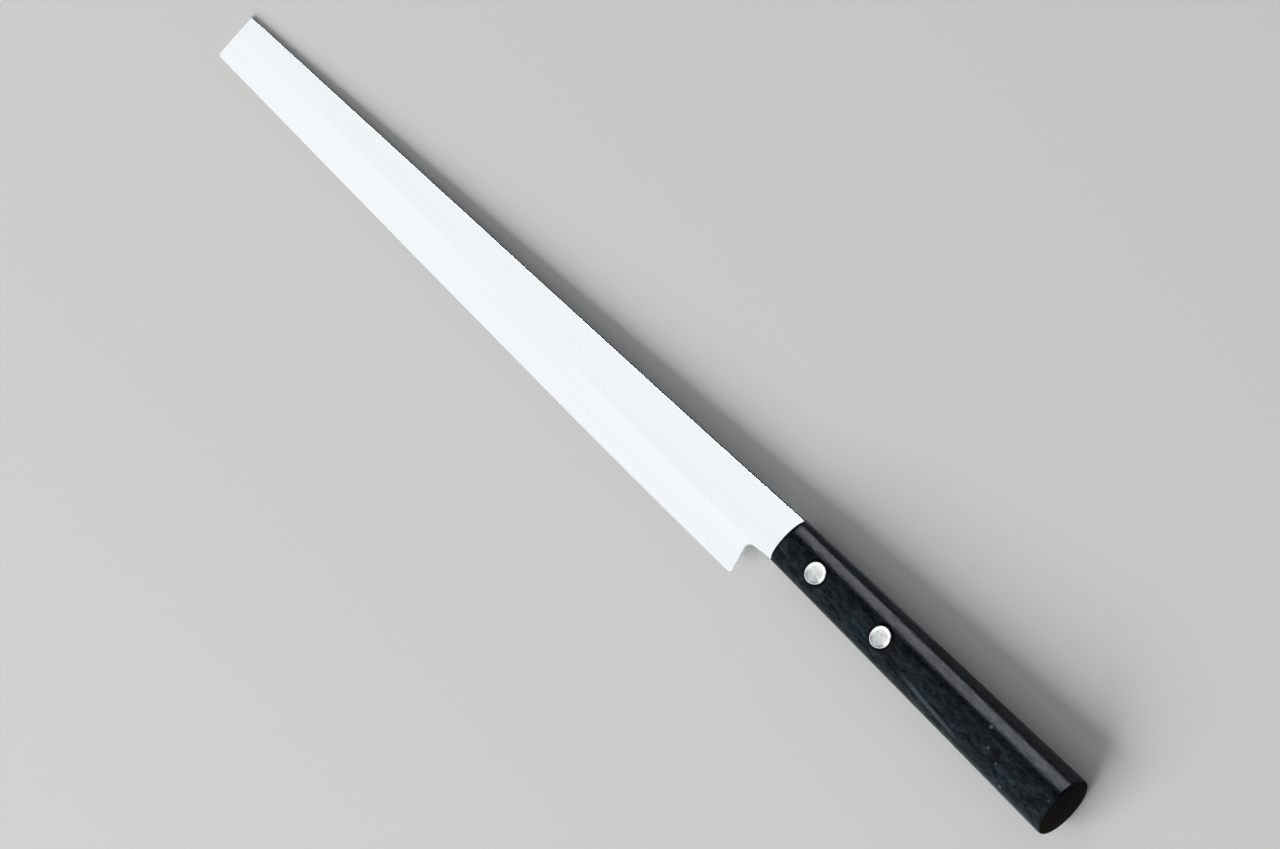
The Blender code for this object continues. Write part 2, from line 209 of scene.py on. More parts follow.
def blade_shape():
    shape = bmesh.new()
    notch_y = neck_underside(BLADE_LENGTH) / (1.0 + HEEL_SLOPE * NECK_SLOPE)
    outline = [(x, spine_height(x)) for x in steps(0.0, HANDLE_FRONT, OUTLINE_STEPS)]
    outline += [(x, spine_height(x)) for x in steps(HANDLE_FRONT, TANG_END, TANG_STEPS)[1:]]
    outline += [(x, wood_height(x, -1)) for x in steps(TANG_END, HANDLE_FRONT, TANG_STEPS)]
    outline += [(BLADE_LENGTH - HEEL_SLOPE * notch_y, notch_y)]
    outline += [(x, edge_height(x)) for x in steps(BLADE_LENGTH, 0.0, OUTLINE_STEPS)]
    ring = [shape.verts.new((x, y, BACK)) for x, y in outline]
    shape.faces.new(ring)

    # Tip, heel and notch are rounded while the outline is still flat
    corners = {"tip": ring[-1], "heel": ring[-1 - OUTLINE_STEPS], "notch": ring[-2 - OUTLINE_STEPS]}
    for name, corner in corners.items():
        sides = [edge.other_vert(corner).co - corner.co for edge in corner.link_edges]
        offset = CORNER_RADII[name] / math.tan(sides[0].angle(sides[1]) / 2)
        bmesh.ops.bevel(
            shape, geom=[corner], offset=offset, segments=CORNER_STEPS, profile=0.5, affect="VERTICES",
            material=-1)

    # Lines across the blade, along the ridge and along the hollow, where the faces will bend
    for x in [HANDLE_FRONT, *steps(STATION, TANG_END - STATION, round(TANG_END / STATION) - 2)]:
        score(shape, shape.faces[:], (x, 0.0), (x, 1.0))
    thicken(shape, NECK_THICKNESS)
    for past in steps(-RIDGE_ROUNDING, RIDGE_ROUNDING, RIDGE_STEPS):
        heel_end = (BLADE_LENGTH, ridge_height(BLADE_LENGTH) + past)
        score(shape, faces_on(shape, 1), (0.0, RIDGE_AT_TIP + past), heel_end)
    low = HOLLOW_RIM
    high_at_tip = TIP_HEIGHT - HOLLOW_RIM
    high_at_heel = spine_height(BLADE_LENGTH) - HOLLOW_RIM
    for share in steps(0.0, 1.0, HOLLOW_STEPS):
        tip_end = (0.0, low + (high_at_tip - low) * share)
        heel_end = (BLADE_LENGTH, low + (high_at_heel - low) * share)
        score(shape, faces_on(shape, -1), tip_end, heel_end)

    # The grinding: both faces take their real heights, then the corners of the spine and tip are eased
    broad = {*faces_on(shape, 1), *faces_on(shape, -1)}
    for vert in shape.verts:
        x, y, z = vert.co
        vert.co.z = ground_height(x, y) if z > 0.0 else hollow_height(x, y)
    rim = []
    for edge in shape.edges:
        if len(broad.intersection(edge.link_faces)) == 1 and all(is_eased(vert) for vert in edge.verts):
            rim.append(edge)
    bmesh.ops.bevel(
        shape, geom=rim, offset=CORNER_EASE, segments=EASE_STEPS, profile=0.5, affect="EDGES", material=-1)

    # The tang's rims are ground flush with the oval of the wood
    for z in steps(BACK, -BACK, RIM_STEPS)[1:-1]:
        tang_rims = [face for face in shape.faces if all(on_tang(vert) for vert in face.verts)]
        cut_line(shape, tang_rims, (0.0, 0.0, z), (0.0, 0.0, 1.0))
    for vert in filter(on_tang, shape.verts):
        side = 1 if vert.co.y > handle_middle(vert.co.x) else -1
        if abs(vert.co.y - wood_height(vert.co.x, side)) < NEAR:
            vert.co.y = oval_height(vert.co.x, vert.co.z, side)
    return shape


def colour(code):
    """An sRGB hex colour, turned to linear light."""
    parts = [int(code[i:i + 2], 16) / 255.0 for i in (1, 3, 5)]
    return (*[((c + 0.055) / 1.055) ** 2.4 if c > 0.04045 else c / 12.92 for c in parts], 1.0)


def add_node(tree, kind, inputs, **settings):
    """Adds a node. An input's value is a number, a colour, or another node's output to link to.

    A Mix node's inputs are 0 for the factor, 2 and 3 for numbers, and 6 and 7 for colours, which come out
    at 2.
    """
    made = tree.nodes.new("ShaderNode" + kind)
    for name, value in settings.items():
        setattr(made, name, value)
    for socket, value in inputs.items():
        if isinstance(value, bpy.types.NodeSocket):
            tree.links.new(value, made.inputs[socket])
        else:
            made.inputs[socket].default_value = value
    return made


def new_material(name):
    material = bpy.data.materials.new(name)
    material.use_nodes = True
    tree = material.node_tree
    return material, tree, tree.nodes["Principled BSDF"]


def own_frame(tree):
    """The knife's own x, y and z in millimetres, whose patterns then run along the blade and the handle."""
    place = add_node(tree, "TexCoord", {})
    back = LAY_DOWN.inverted()
    return add_node(tree, "Mapping", {
        "Vector": place.outputs["Object"], "Location": back.to_translation(),
        "Rotation": back.to_euler(), "Scale": back.to_scale()}).outputs["Vector"]


def drawn_at(sizes):
    """The scale that draws a pattern with spots of these sizes, in millimetres along x, y and z."""
    return [1.0 / size for size in sizes]


# Stainless steel polished along the blade: nearly white, with soft reflections that fine lines draw out. Real
# polishing lines are about 0.02 mm apart; they are drawn 0.3 mm apart, or they would not show. The passes of
# the wheel, 2.5 mm wide, leave the steel a little brighter or duller in long streaks.
POLISH_LINES = (55.0, 0.3, 0.3)
POLISH_PASSES = (90.0, 2.5, 2.5)
POLISH_DROP = 0.9  # towards the heel, the flat's duller polish reaches this far past the ridge
POLISH_FADE = 1.4
steel, tree, shader = new_material("stainless_steel_polished_lengthwise")
own = own_frame(tree)
lines_at = add_node(tree, "Mapping", {"Vector": own, "Scale": drawn_at(POLISH_LINES)})
lines = add_node(tree, "TexNoise", {"Vector": lines_at.outputs["Vector"], "Scale": 1.0, "Detail": 3.0})
passes_at = add_node(tree, "Mapping", {"Vector": own, "Scale": drawn_at(POLISH_PASSES)})
passes = add_node(tree, "TexNoise", {"Vector": passes_at.outputs["Vector"], "Scale": 1.0, "Detail": 2.0})
along = add_node(tree, "SeparateXYZ", {"Vector": own})
ridge_run = (ridge_height(BLADE_LENGTH) - POLISH_DROP - RIDGE_AT_TIP) / BLADE_LENGTH
ridge_at = add_node(tree, "Math", {
    0: along.outputs["X"], 1: ridge_run, 2: RIDGE_AT_TIP}, operation="MULTIPLY_ADD")
past_ridge = add_node(tree, "Math", {0: along.outputs["Y"], 1: ridge_at.outputs[0]}, operation="SUBTRACT")
on_flat = add_node(tree, "MapRange", {
    "Value": past_ridge.outputs[0], "From Min": -POLISH_FADE, "From Max": POLISH_FADE},
    interpolation_type="SMOOTHSTEP")
bright = add_node(tree, "Mix", {
    0: lines.outputs["Fac"], 6: colour("#ECEFF3"), 7: colour("#F0F3F5")}, data_type="RGBA")
duller = add_node(tree, "Mix", {
    0: lines.outputs["Fac"], 6: colour("#EBF0F3"), 7: colour("#EFF3F6")}, data_type="RGBA")
face_colour = add_node(tree, "Mix", {
    0: on_flat.outputs[0], 6: bright.outputs[2], 7: duller.outputs[2]}, data_type="RGBA")
rough = add_node(tree, "MapRange", {
    "Value": passes.outputs["Fac"], "From Min": 0.35, "From Max": 0.65, "To Min": 0.25, "To Max": 0.29})
bump = add_node(tree, "Bump", {"Height": lines.outputs["Fac"], "Strength": 0.06, "Distance": 0.00002})
tree.links.new(face_colour.outputs[2], shader.inputs["Base Color"])
tree.links.new(rough.outputs[0], shader.inputs["Roughness"])
tree.links.new(bump.outputs["Normal"], shader.inputs["Normal"])
shader.inputs["Metallic"].default_value = 1.0


# The rivets: two cutlery rivets of stainless steel, each a half with a tube and a half with a pin that is
# driven into it. Their heads sit in counterbores and are ground flush with the wood, with a thin gap round
# them that painted shade on the wood darkens.

RIVET_SETBACK = 15.9
RIVET_SPACING = 30.1
RIVETS_AT = {"front": HANDLE_FRONT + RIVET_SETBACK, "rear": HANDLE_FRONT + RIVET_SETBACK + RIVET_SPACING}
RIVET_DROP = 0.6
HEAD_RADIUS = 3.5
HEAD_THICKNESS = 1.8
FIT_GAP = 0.25
PIN_RADIUS = 1.25
BORE_RADIUS = PIN_RADIUS + FIT_GAP
TUBE_WALL = 0.7
TUBE_RADIUS = BORE_RADIUS + TUBE_WALL
HOLE_RADIUS = TUBE_RADIUS + FIT_GAP
SEAT_RADIUS = HEAD_RADIUS + FIT_GAP
END_ROOM = 0.6  # left free beyond the end of the tube and of the pin
# Rings of the head's ground face, each a radius and a height above the wood: a level middle, a trace of a
# dip, a polished rim that stands up a trace, and an eased corner
HEAD_FACE = [(0.0, 0.0), (0.5, 0.0), (1.0, 0.0), (1.5, 0.0), (2.0, 0.0), (2.3, -0.004), (2.45, -0.005),
             (2.6, 0.0), (2.9, 0.005), (3.2, 0.0), (3.4, -0.02), (3.47, -0.06), (HEAD_RADIUS, -0.12)]
RIM_FROM = 2.1  # the scratched middle turns into the polished rim between these two radii
RIM_TO = 2.7
SCRATCHES = (2.2, 0.35, 1.0)  # real belt scratches are finer; they are drawn 0.35 mm wide so that they show
SCRATCH_SLANT = math.radians(35.0)
BLOTCH = 1.3  # size of a patch of uneven wear
SEAT_FLARE = 0.3  # the grinding breaks the counterbore's mouth, so it widens by this much
FLARE_FROM = 0.2  # under the wood's surface
FLARE_TO = 0.1  # above it
OVERCUT = 4.0  # cutters reach this far past the wood, and past the blade's middle
BENT_FROM = 0.1  # what lies this far outside a seat's level follows the wood
TURNED_STEPS = 96
SHARP_FROM = math.radians(35.0)


def turned(profile, place):
    """A profile, each point (radius, z), turned about the z axis and moved to its place."""
    shape = bmesh.new()
    points = [shape.verts.new((radius, 0.0, z)) for radius, z in profile]
    lines = [shape.edges.new(pair) for pair in zip(points, points[1:])]
    bmesh.ops.spin(shape, geom=points + lines, cent=(0, 0, 0), axis=(0, 0, 1), angle=math.tau,
                   steps=TURNED_STEPS, use_merge=True)
    bmesh.ops.remove_doubles(shape, verts=shape.verts, dist=1e-4)
    bmesh.ops.recalc_face_normals(shape, faces=shape.faces)
    bmesh.ops.translate(shape, verts=shape.verts, vec=place)
    return shape


def wood_depth(x, y):
    """Half of the handle's thickness at a point on its side."""
    away = (y - handle_middle(x)) / (grown(x, HANDLE_HEIGHT) / 2)
    return grown(x, HANDLE_THICKNESS) / 2 * math.sqrt(max(1.0 - away * away, 0.0))


def follow_wood(shape, depth, level):
    """Bends what lies further out than the level seat, on either side, to follow the oval of the wood."""
    for vert in shape.verts:
        if abs(vert.co.z) > level + BENT_FROM:
            vert.co.z += math.copysign(wood_depth(vert.co.x, vert.co.y) - depth, vert.co.z)


def rivet_steel(name, place):
    """Stainless steel ground on a belt: a slightly grey, scratched middle inside a bright polished rim."""
    material, tree, shader = new_material(name)
    own = own_frame(tree)
    from_middle = add_node(tree, "VectorMath", {0: own, 1: place}, operation="SUBTRACT")
    level = add_node(tree, "VectorMath", {
        0: from_middle.outputs[0], 1: (1.0, 1.0, 0.0)}, operation="MULTIPLY")
    radius = add_node(tree, "VectorMath", {0: level.outputs[0]}, operation="LENGTH")
    on_rim = add_node(tree, "MapRange", {
        "Value": radius.outputs["Value"], "From Min": RIM_FROM, "From Max": RIM_TO},
        interpolation_type="SMOOTHSTEP")
    slanted = add_node(tree, "Mapping", {
        "Vector": from_middle.outputs[0], "Rotation": (0.0, 0.0, SCRATCH_SLANT),
        "Scale": drawn_at(SCRATCHES)})
    scratches = add_node(tree, "TexNoise", {"Vector": slanted.outputs["Vector"], "Scale": 1.0, "Detail": 3.0})
    blotches = add_node(tree, "TexNoise", {
        "Vector": from_middle.outputs[0], "Scale": 1.0 / BLOTCH, "Detail": 4.0})
    worn = add_node(tree, "Mix", {0: 0.5, 2: scratches.outputs["Fac"], 3: blotches.outputs["Fac"]})
    tone = add_node(tree, "MapRange", {"Value": worn.outputs[0], "From Min": 0.36, "From Max": 0.62})
    middle = add_node(tree, "Mix", {
        0: tone.outputs[0], 6: colour("#C2C6C5"), 7: colour("#F2F6F3")}, data_type="RGBA")
    face = add_node(tree, "Mix", {
        0: on_rim.outputs[0], 6: middle.outputs[2], 7: colour("#F9FBFB")}, data_type="RGBA")
    rough = add_node(tree, "MapRange", {"Value": on_rim.outputs[0], "To Min": 0.38, "To Max": 0.24})
    bump = add_node(tree, "Bump", {"Height": worn.outputs[0], "Strength": 0.15, "Distance": 0.00004})
    tree.links.new(face.outputs[2], shader.inputs["Base Color"])
    tree.links.new(rough.outputs[0], shader.inputs["Roughness"])
    tree.links.new(bump.outputs["Normal"], shader.inputs["Normal"])
    shader.inputs["Metallic"].default_value = 1.0
    return material


def finish_piece(shape, name, material, node):
    """Lays a drawn shape down, makes a piece of it, and puts it in the place of its CAD node."""
    bmesh.ops.recalc_face_normals(shape, faces=shape.faces)
    bmesh.ops.transform(shape, verts=shape.verts, matrix=LAY_DOWN)
    mesh = bpy.data.meshes.new(name)
    shape.to_mesh(mesh)
    shape.free()
    mesh.shade_smooth()
    mesh.set_sharp_from_angle(angle=SHARP_FROM)
    mesh.materials.append(material)
    piece = bpy.data.objects.new(name, mesh)
    bpy.context.scene.collection.objects.link(piece)
    piece.modifiers.new("flat_faces_stay_flat", "WEIGHTED_NORMAL").keep_sharp = True
    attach(piece, "root")
    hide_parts(node)
    return piece


seats = []
tang_holes = []
for name, x in RIVETS_AT.items():
    y = handle_middle(x) - RIVET_DROP
    place = (x, y, 0.0)
    depth = wood_depth(x, y)
    seat_z = depth - HEAD_THICKNESS
    head_z = seat_z + FIT_GAP
    finish = rivet_steel(f"stainless_steel_ground_{name}", place)
    face = [(radius, depth + rise) for radius, rise in HEAD_FACE]
    # Half profiles, by radius and height: the bore, tube and head of one half, the head and pin of the other
    tube_end = END_ROOM - head_z
    female = [(0.0, head_z), (BORE_RADIUS, head_z), (BORE_RADIUS, tube_end), (TUBE_RADIUS, tube_end),
              (TUBE_RADIUS, head_z), (HEAD_RADIUS, head_z), *face[::-1]]
    male = [*[(radius, -z) for radius, z in face], (HEAD_RADIUS, -head_z), (PIN_RADIUS, -head_z),
            (PIN_RADIUS, -tube_end), (0.0, -tube_end)]
    for half, profile in (("female", female), ("male", male)):
        rivet = turned(profile, place)
        follow_wood(rivet, depth, head_z)
        finish_piece(rivet, f"rivet_{name}_{half}_ground", finish, f"rivet_{name}_{half}")
    # What is bored out of the wood, a counterbore from either side, and the hole through the tang
    mouth = SEAT_RADIUS + SEAT_FLARE
    bored = [(HOLE_RADIUS, seat_z), (SEAT_RADIUS, seat_z), (SEAT_RADIUS, depth - FLARE_FROM),
             (mouth, depth + FLARE_TO), (mouth, depth + OVERCUT), (0.0, depth + OVERCUT)]
    seat = turned([(radius, -z) for radius, z in bored[::-1]] + bored, place)
    follow_wood(seat, depth, seat_z)
    seats.append(seat)
    drilled = [(0.0, -OVERCUT), (HOLE_RADIUS, -OVERCUT), (HOLE_RADIUS, OVERCUT), (0.0, OVERCUT)]
    tang_holes.append(turned(drilled, place))


# The blade, drilled for the rivets. Its spine and all of its tang keep the belt's duller finish, and their
# dark grey is painted shade. The belt's lines run lengthwise, drawn 0.3 mm wide so that they show.

BELT_LINES = (6.0, 0.3, 0.3)
TURNED_UP = 0.5  # a face is the spine's if it looks this much along y


def cut_away(body, cutters):
    """Cuts the cutters out of a body, and returns what is left of it."""
    lent = []
    for shape in [body, *cutters]:
        bmesh.ops.recalc_face_normals(shape, faces=shape.faces)
        mesh = bpy.data.meshes.new("cut")
        shape.to_mesh(mesh)
        shape.free()
        lent.append(bpy.data.objects.new("cut", mesh))
        bpy.context.scene.collection.objects.link(lent[-1])
    for cutter in lent[1:]:
        modifier = lent[0].modifiers.new("cut", "BOOLEAN")
        modifier.operation = "DIFFERENCE"
        modifier.solver = "EXACT"
        modifier.object = cutter
    left = bmesh.new()
    left.from_object(lent[0], bpy.context.evaluated_depsgraph_get())
    for thing in lent:
        bpy.data.objects.remove(thing, do_unlink=True)
    return left


spine_steel, tree, shader = new_material("stainless_steel_belt_ground_painted_shade")
own = own_frame(tree)
grit_at = add_node(tree, "Mapping", {"Vector": own, "Scale": drawn_at(BELT_LINES)})
grit = add_node(tree, "TexNoise", {"Vector": grit_at.outputs["Vector"], "Scale": 1.0, "Detail": 3.0})
# Painted shade: a dark grey for the spine's side and the tang, darker than the steel's own colour
grey = add_node(tree, "Mix", {
    0: grit.outputs["Fac"], 6: colour("#363B42"), 7: colour("#555B65")}, data_type="RGBA")
bump = add_node(tree, "Bump", {"Height": grit.outputs["Fac"], "Strength": 0.2, "Distance": 0.00003})
tree.links.new(grey.outputs[2], shader.inputs["Base Color"])
tree.links.new(bump.outputs["Normal"], shader.inputs["Normal"])
shader.inputs["Metallic"].default_value = 1.0
shader.inputs["Roughness"].default_value = 0.5

blade = finish_piece(cut_away(blade_shape(), tang_holes), "blade_polished", steel, "blade")
blade.data.materials.append(spine_steel)
# Faces that look towards the spine, and all of the tang, take the dark grey of painted shade
in_slot = LAID_AT[0] + HANDLE_FRONT * MILLIMETRE
for face in blade.data.polygons:
    if face.normal.y > TURNED_UP or face.center.x > in_slot:
        face.material_index = 1


# The handle: one piece of black resin-pressed wood, turned and sanded to an oval that grows towards the butt.
# A saw slot from the front takes the tang, and the finished surface is buffed to a soft sheen.

FRONT_EASE = 0.35
FRONT_EASE_LENGTH = 2.5
BUTT_RADIUS = 1.2
BUTT_CROWN = 0.5
BUTT_LEAN = 0.03
SAW_RADIUS = 75.0
OVAL_POINTS = 176
FRONT_RINGS = 6
SIDE_RINGS = 30
BUTT_RINGS = 8
CROWN_RINGS = (0.92, 0.8, 0.65, 0.5, 0.35, 0.2, 0.08)  # ovals on the end face, as shares of its width
SAW_STEPS = 12


def oval(x, inset=0.0, shrink=1.0, shift=0.0, lean=0.0):
    """What turns a unit circle into one oval slice of the handle."""
    up = (grown(x, HANDLE_HEIGHT) / 2 - inset) * shrink
    out = (grown(x, HANDLE_THICKNESS) / 2 - inset) * shrink
    leaning = Matrix.Identity(4)
    leaning[0][1] = -lean
    middle = (x + shift, handle_middle(x), 0.0)
    return Matrix.Translation(middle) @ leaning @ Matrix.Diagonal((1.0, up, out, 1.0))


def handle_shape():
    # Ovals in turn: the softened front edge, the growing side, the rounded butt edge, the crowned end face
    ovals = []
    for turn in steps(0.0, math.pi / 2, FRONT_RINGS):
        x = HANDLE_FRONT + FRONT_EASE_LENGTH * (1.0 - math.cos(turn))
        ovals.append(oval(x, FRONT_EASE * (1.0 - math.sin(turn))))
    end = HANDLE_FRONT + HANDLE_LENGTH - BUTT_CROWN
    ovals += [oval(x) for x in steps(HANDLE_FRONT + FRONT_EASE_LENGTH, end - BUTT_RADIUS, SIDE_RINGS)[1:-1]]
    for turn in steps(0.0, math.pi / 2, BUTT_RINGS):
        inset = BUTT_RADIUS * (1.0 - math.cos(turn))
        ovals.append(oval(end - BUTT_RADIUS * (1.0 - math.sin(turn)), inset, lean=BUTT_LEAN))
    for shrink in CROWN_RINGS:
        ovals.append(oval(end, BUTT_RADIUS, shrink, BUTT_CROWN * (1.0 - shrink * shrink), BUTT_LEAN))

    # Each oval is drawn out from the one before, and the last one is closed in a point
    shape = bmesh.new()
    across = ovals[0] @ Matrix.Rotation(math.pi / 2, 4, "Y")
    bmesh.ops.create_circle(shape, cap_ends=True, radius=1.0, segments=OVAL_POINTS, matrix=across)
    ring = shape.edges[:]
    for before, after in zip(ovals, ovals[1:]):
        made = bmesh.ops.extrude_edge_only(shape, edges=ring)["geom"]
        points = [part for part in made if isinstance(part, bmesh.types.BMVert)]
        bmesh.ops.transform(shape, verts=points, matrix=after @ before.inverted())
        beside = {edge for point in points for edge in point.link_edges}
        ring = [edge for edge in beside if all(vert in points for vert in edge.verts)]
    middle = sum((point.co for point in points), Vector()) / len(points)
    bmesh.ops.pointmerge(shape, verts=points, merge_co=middle)
    return shape


def slot_shape():
    """The saw slot, which ends in the arc of the saw that cut it."""
    reach = grown(TANG_END, HANDLE_HEIGHT) / 2
    centre = TANG_END + FIT_GAP - math.sqrt(SAW_RADIUS ** 2 - reach ** 2)
    high = reach + OVERCUT
    shape = bmesh.new()
    outline = [(HANDLE_FRONT - OVERCUT, high), (HANDLE_FRONT - OVERCUT, -high)]
    outline += [(centre + math.sqrt(SAW_RADIUS ** 2 - y * y), y) for y in steps(-high, high, SAW_STEPS)]
    half = NECK_THICKNESS / 2 + FIT_GAP
    shape.faces.new([shape.verts.new((x, y + handle_middle(TANG_END), -half)) for x, y in outline])
    thicken(shape, 2 * half)
    return shape


# Black resin-pressed wood: a bluish charcoal rather than black, with clouds, streaks about 12 mm long along
# the grain, pores that are drawn 0.5 mm wide so that they show, and an uneven buffed sheen. Painted shade
# lies near-black in a band round the rivets and along the front edge, and a pale streak on the lower side is
# a painted highlight. Use has left five pale chips and a dark pit.
GRAIN_STREAKS = (12.0, 0.7, 0.7)
GRAIN_CLOUDS = (4.5, 1.9, 1.9)
GRAIN_PORES = (1.8, 0.5, 0.5)
SEAM_WIDTH = 0.5
SEAM_FADE = 0.7
CHIPS = [((340.4, 25.6, 7.6), 0.86), ((344.3, 20.3, 8.3), 0.61), ((349.7, 18.5, 8.1), 0.5),
         ((354.6, 14.0, 5.4), 0.69), ((370.9, 22.2, 9.2), 0.36)]  # places on the side, each with a radius
CHIP_FADE = 0.5
CHIP_RAGGED = 0.25
FAR = 9.0  # where the search for the nearest chip starts
PIT = (348.0, 21.5)
PIT_RADIUS = 0.2
# A painted highlight: a pale streak along the lower side of the handle
PAINTED_HIGHLIGHT_MIDDLE = (320.5, 15.8, 6.1)
PAINTED_HIGHLIGHT_SIZE = (21.0, 1.05, 1.6)
PAINTED_HIGHLIGHT_SLOPE = math.atan2(-2.7, 34.0)
PAINTED_HIGHLIGHT_STRENGTH = 0.27
wood, tree, shader = new_material("resin_pressed_wood_black_buffed")
own = own_frame(tree)
streaks_at = add_node(tree, "Mapping", {"Vector": own, "Scale": drawn_at(GRAIN_STREAKS)})
streaks = add_node(tree, "TexNoise", {
    "Vector": streaks_at.outputs["Vector"], "Scale": 1.0, "Detail": 4.0, "Roughness": 0.65})
clouds_at = add_node(tree, "Mapping", {"Vector": own, "Scale": drawn_at(GRAIN_CLOUDS)})
clouds = add_node(tree, "TexNoise", {
    "Vector": clouds_at.outputs["Vector"], "Scale": 1.0, "Detail": 3.0, "Roughness": 0.65})
pores_at = add_node(tree, "Mapping", {"Vector": own, "Scale": drawn_at(GRAIN_PORES)})
pores = add_node(tree, "TexNoise", {"Vector": pores_at.outputs["Vector"], "Scale": 1.0, "Detail": 2.0})
fibres = add_node(tree, "Mix", {0: 0.6, 2: streaks.outputs["Fac"], 3: pores.outputs["Fac"]})
grain = add_node(tree, "Mix", {0: 0.48, 2: fibres.outputs[0], 3: clouds.outputs["Fac"]})
tone = add_node(tree, "MapRange", {"Value": grain.outputs[0], "From Min": 0.445, "From Max": 0.615})
charcoal = add_node(tree, "Mix", {
    0: tone.outputs[0], 6: colour("#01040A"), 7: colour("#202C32")}, data_type="RGBA")

level = add_node(tree, "VectorMath", {0: own, 1: (1.0, 1.0, 0.0)}, operation="MULTIPLY")
along = add_node(tree, "SeparateXYZ", {"Vector": own})
# Painted shade: near-black in a narrow band round the rivets' seats and along the front edge, and on the pit
from_seam = add_node(tree, "Math", {0: along.outputs["X"], 1: HANDLE_FRONT}, operation="SUBTRACT").outputs[0]
holes = [(x, handle_middle(x) - RIVET_DROP, SEAT_RADIUS) for x in RIVETS_AT.values()]
for x, y, radius in [*holes, (*PIT, PIT_RADIUS)]:
    away = add_node(tree, "VectorMath", {0: level.outputs[0], 1: (x, y, 0.0)}, operation="DISTANCE")
    past = add_node(tree, "Math", {0: away.outputs["Value"], 1: radius}, operation="SUBTRACT").outputs[0]
    from_seam = add_node(tree, "Math", {0: from_seam, 1: past}, operation="MINIMUM").outputs[0]
unshaded = add_node(tree, "MapRange", {
    "Value": from_seam, "From Min": SEAM_WIDTH, "From Max": SEAM_WIDTH + SEAM_FADE},
    interpolation_type="SMOOTHSTEP")
seam_shaded = add_node(tree, "Mix", {
    0: unshaded.outputs[0], 6: colour("#030304"), 7: charcoal.outputs[2]}, data_type="RGBA")

ragged = add_node(tree, "MapRange", {
    "Value": pores.outputs["Fac"], "From Min": 0.3, "From Max": 0.7,
    "To Min": -CHIP_RAGGED, "To Max": CHIP_RAGGED})
from_chip = FAR
for chip, radius in CHIPS:
    away = add_node(tree, "VectorMath", {0: own, 1: chip}, operation="DISTANCE")
    past = add_node(tree, "Math", {0: away.outputs["Value"], 1: radius}, operation="SUBTRACT").outputs[0]
    from_chip = add_node(tree, "Math", {0: from_chip, 1: past}, operation="MINIMUM").outputs[0]
uneven = add_node(tree, "Math", {0: from_chip, 1: ragged.outputs[0]}, operation="ADD")
whole = add_node(tree, "MapRange", {"Value": uneven.outputs[0], "From Min": -CHIP_FADE, "From Max": 0.0})

# The painted highlight, in the chips' pale colour, fading out from the streak's middle
highlight_at = add_node(tree, "Mapping", {
    "Vector": own, "Location": PAINTED_HIGHLIGHT_MIDDLE, "Rotation": (0.0, 0.0, PAINTED_HIGHLIGHT_SLOPE), "Scale": PAINTED_HIGHLIGHT_SIZE},
    vector_type="TEXTURE")
from_highlight = add_node(tree, "VectorMath", {0: highlight_at.outputs["Vector"]}, operation="LENGTH")
painted_highlight = add_node(tree, "MapRange", {
    "Value": from_highlight.outputs["Value"], "From Min": 0.3, "From Max": 1.0,
    "To Min": PAINTED_HIGHLIGHT_STRENGTH, "To Max": 0.0}, interpolation_type="SMOOTHSTEP")
kept = add_node(tree, "Math", {
    0: whole.outputs[0], 1: painted_highlight.outputs[0]}, operation="SUBTRACT", use_clamp=True)
# The pale colour is the chips' own, and also the painted highlight's
wood_colour = add_node(tree, "Mix", {
    0: kept.outputs[0], 6: colour("#62686D"), 7: seam_shaded.outputs[2]}, data_type="RGBA")
sheen = add_node(tree, "MapRange", {
    "Value": clouds.outputs["Fac"], "From Min": 0.35, "From Max": 0.65, "To Min": 0.27, "To Max": 0.16})
relief = add_node(tree, "Math", {0: grain.outputs[0], 1: whole.outputs[0]}, operation="MULTIPLY")
bump = add_node(tree, "Bump", {"Height": relief.outputs[0], "Strength": 0.35, "Distance": 0.0002})
tree.links.new(wood_colour.outputs[2], shader.inputs["Base Color"])
tree.links.new(sheen.outputs[0], shader.inputs["Roughness"])
tree.links.new(bump.outputs["Normal"], shader.inputs["Normal"])
shader.inputs["Specular IOR Level"].default_value = 0.09

# End grain, on the butt and on the front's face, drinks the polish: a dull brown-black with pores that are
# drawn 0.7 mm wide, and with the pressed layers, 1.8 mm thick, showing as faint bands.
END_PORES = (4.0, 0.7, 0.7)
END_LAYERS = (20.0, 9.0, 1.8)
END_ON = 0.72  # a face is end grain if it looks this much along x
end_grain, tree, shader = new_material("resin_pressed_wood_end_grain")
own = own_frame(tree)
pores_at = add_node(tree, "Mapping", {"Vector": own, "Scale": drawn_at(END_PORES)})
pores = add_node(tree, "TexNoise", {"Vector": pores_at.outputs["Vector"], "Scale": 1.0, "Detail": 3.0})
layers_at = add_node(tree, "Mapping", {"Vector": own, "Scale": drawn_at(END_LAYERS)})
layers = add_node(tree, "TexNoise", {"Vector": layers_at.outputs["Vector"], "Scale": 1.0, "Detail": 2.0})
bands = add_node(tree, "Mix", {0: 0.5, 2: pores.outputs["Fac"], 3: layers.outputs["Fac"]})
tone = add_node(tree, "MapRange", {"Value": bands.outputs[0], "From Min": 0.38, "From Max": 0.62})
brown = add_node(tree, "Mix", {
    0: tone.outputs[0], 6: colour("#050303"), 7: colour("#17140D")}, data_type="RGBA")
bump = add_node(tree, "Bump", {"Height": pores.outputs["Fac"], "Strength": 0.3, "Distance": 0.0001})
tree.links.new(brown.outputs[2], shader.inputs["Base Color"])
tree.links.new(bump.outputs["Normal"], shader.inputs["Normal"])
shader.inputs["Roughness"].default_value = 0.7
shader.inputs["Specular IOR Level"].default_value = 0.03

